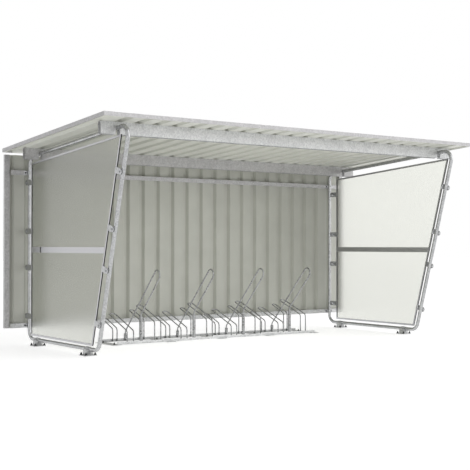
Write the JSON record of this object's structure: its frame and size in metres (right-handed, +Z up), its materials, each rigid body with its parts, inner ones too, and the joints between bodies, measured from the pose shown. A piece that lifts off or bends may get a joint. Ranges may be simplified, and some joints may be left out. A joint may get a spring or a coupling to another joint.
{
  "type": "bike shelter",
  "caption": "Open-front bike shelter: bent-tube side hoops with frosted panels, sloping profiled-sheet roof and rear wall, wheel loops and leaning hoops.",
  "frame": {"origin": "on the floor under the middle of the roof", "axes": "+X along the shelter to the right of someone who looks in from the open front, +Y from the open front to the rear wall, +Z up"},
  "size_m": [4.908, 2.3346, 2.3094],
  "materials": {
    "galvanised_steel": "hot-dip galvanised, dull with faint spangle",
    "coated_sheet": "satin grey-white coil coating",
    "frosted_panel": "frosted translucent sheet",
    "aluminium_section": "mill finish"
  },
  "bodies": {
    "root": {"front_fascia": "galvanised_steel", "front_purlin": "galvanised_steel", "left_front_foot": "galvanised_steel", "left_lower_panel": "frosted_panel", "left_mid_rail": "aluminium_section", "left_panel_clamps": "galvanised_steel", "left_panel_edging": "aluminium_section", "left_rear_foot": "galvanised_steel", "left_side_hoop": "galvanised_steel", "left_upper_panel": "frosted_panel", "left_verge_trim": "galvanised_steel", "left_wall_trim": "galvanised_steel", "lower_wall_rail": "galvanised_steel", "rack_floor_plates": "galvanised_steel", "rack_high_front_loops": "galvanised_steel", "rack_high_rear_loops": "galvanised_steel", "rack_hoop_sleeves": "galvanised_steel", "rack_leaning_hoops": "galvanised_steel", "rack_low_front_loops": "galvanised_steel", "rack_low_rear_loops": "galvanised_steel", "rack_rails": "galvanised_steel", "rear_purlin": "galvanised_steel", "rear_roof_trim": "galvanised_steel", "right_front_foot": "galvanised_steel", "right_lower_panel": "frosted_panel", "right_mid_rail": "aluminium_section", "right_panel_clamps": "galvanised_steel", "right_panel_edging": "aluminium_section", "right_rear_foot": "galvanised_steel", "right_side_hoop": "galvanised_steel", "right_upper_panel": "frosted_panel", "right_verge_trim": "galvanised_steel", "right_wall_trim": "galvanised_steel", "roof_sheet_1": "coated_sheet", "roof_sheet_2": "coated_sheet", "roof_sheet_3": "coated_sheet", "roof_sheet_4": "coated_sheet", "roof_sheet_5": "coated_sheet", "upper_wall_rail": "galvanised_steel", "wall_rail_straps": "galvanised_steel", "wall_sheet_1": "coated_sheet", "wall_sheet_2": "coated_sheet", "wall_sheet_3": "coated_sheet", "wall_sheet_4": "coated_sheet", "wall_sheet_5": "coated_sheet"}
  },
  "joints": []
}
